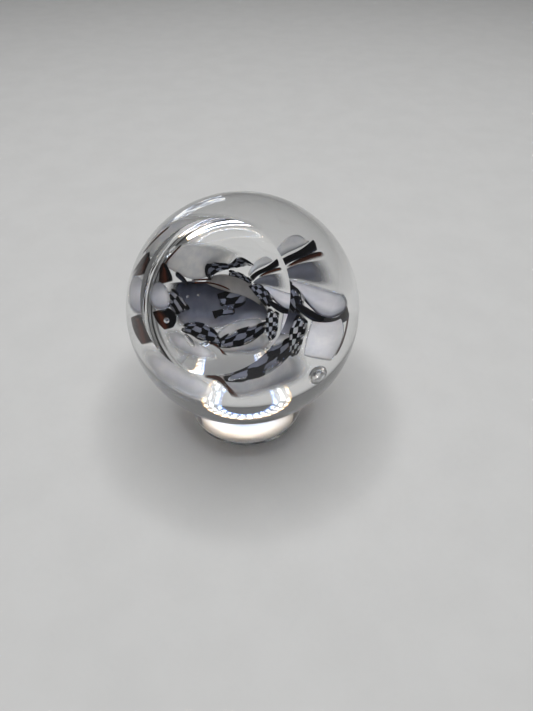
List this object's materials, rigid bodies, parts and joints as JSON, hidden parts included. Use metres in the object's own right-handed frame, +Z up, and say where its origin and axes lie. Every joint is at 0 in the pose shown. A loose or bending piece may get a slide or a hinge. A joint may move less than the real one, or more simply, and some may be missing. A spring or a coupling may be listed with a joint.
{
  "type": "paperweight",
  "caption": "Clear glass ball paperweight with a polished window facet and swirled black, white and brown glass inside, resting on a short clear ring stand.",
  "frame": {"origin": "centre of the ring stand's lower rim, on the table", "axes": "+Z up through the ball's centre, +X to the right, -Y to the front where the polished facet looks"},
  "size_m": [0.08, 0.08, 0.0883],
  "materials": {
    "clear_glass": "gloss",
    "clear_acrylic": "gloss",
    "white_glass": "gloss",
    "black_glass": "gloss",
    "brown_glass": "gloss",
    "grey_glass": "gloss",
    "check_glass": "gloss"
  },
  "bodies": {
    "stand": {"ring_stand": "clear_acrylic"},
    "ball": {"clear_ball": "clear_glass", "black_band_horn": "black_glass", "black_band_right": "black_glass", "black_streak_upper_left": "black_glass", "brown_band_horn": "brown_glass", "brown_chip_lower_left": "brown_glass", "brown_chip_upper_left": "brown_glass", "brown_edge_lower": "brown_glass", "brown_edge_right": "brown_glass", "brown_edge_upper_left": "brown_glass", "brown_thread_lower": "brown_glass", "brown_thread_upper": "brown_glass", "check_cane_centre": "check_glass", "check_cane_centre_low": "check_glass", "check_cane_diagonal": "check_glass", "check_cane_left": "check_glass", "check_cane_lower_left": "check_glass", "check_cane_lower_right": "check_glass", "check_cane_right": "check_glass", "check_cane_upper": "check_glass", "check_cane_upper_curl": "check_glass", "grey_plane_upper": "grey_glass", "grey_veil_centre": "grey_glass", "grey_veil_right": "grey_glass", "white_bowl": "white_glass", "white_horn": "white_glass", "white_lobe_right": "white_glass", "white_oval_left": "white_glass", "white_panel_right": "white_glass", "white_sheet_lower_left": "white_glass", "white_sheet_upper_left": "white_glass"}
  },
  "joints": [
    {"name": "ball_lift", "type": "slide", "parent": "stand", "child": "ball", "axis": [0, 0, 1], "range_m": [0, 0.04]}
  ]
}
